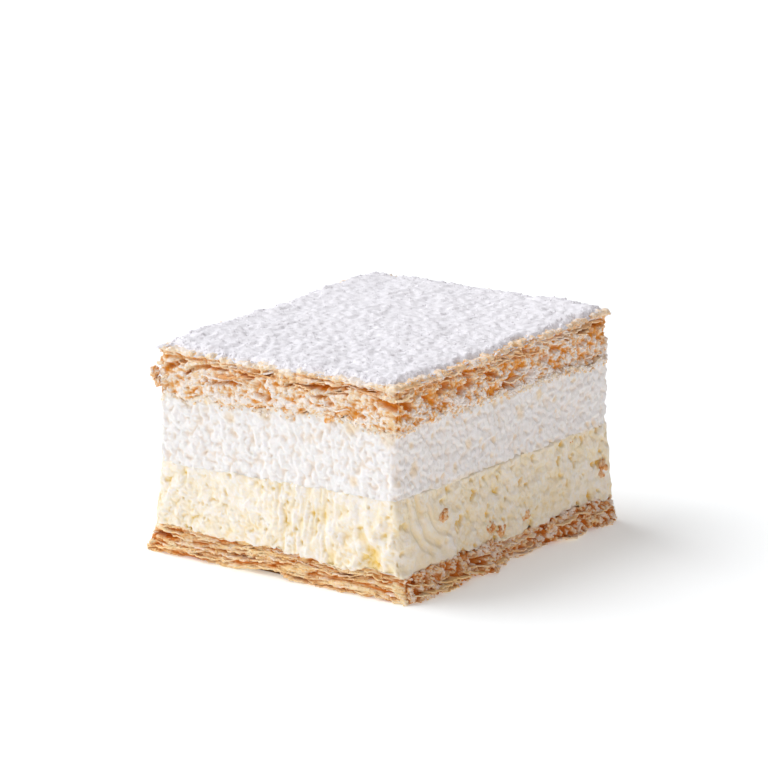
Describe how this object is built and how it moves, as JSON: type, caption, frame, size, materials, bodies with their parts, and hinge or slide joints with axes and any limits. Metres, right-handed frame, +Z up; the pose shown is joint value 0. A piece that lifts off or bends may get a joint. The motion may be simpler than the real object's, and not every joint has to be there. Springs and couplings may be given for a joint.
{
  "type": "mille feuille slice",
  "caption": "Square-cut cream slice: custard and whipped cream between sheets of flaky puff pastry, dusted with powdered sugar.",
  "frame": {"origin": "middle of the slice's box, on the plate under its lower pastry sheet", "axes": "+Z up through the layers, +Y along the longer cut side from the front (-Y) to the back, +X to the right as seen from the front"},
  "size_m": [0.0822, 0.0946, 0.0536],
  "materials": {
    "baked_pastry": "matte",
    "vanilla_custard": "satin",
    "whipped_cream": "matte",
    "sugared_pastry": "matte"
  },
  "bodies": {
    "root": {"bottom_pastry": "baked_pastry", "custard": "vanilla_custard", "whipped_cream": "whipped_cream", "top_pastry": "sugared_pastry"}
  },
  "joints": []
}
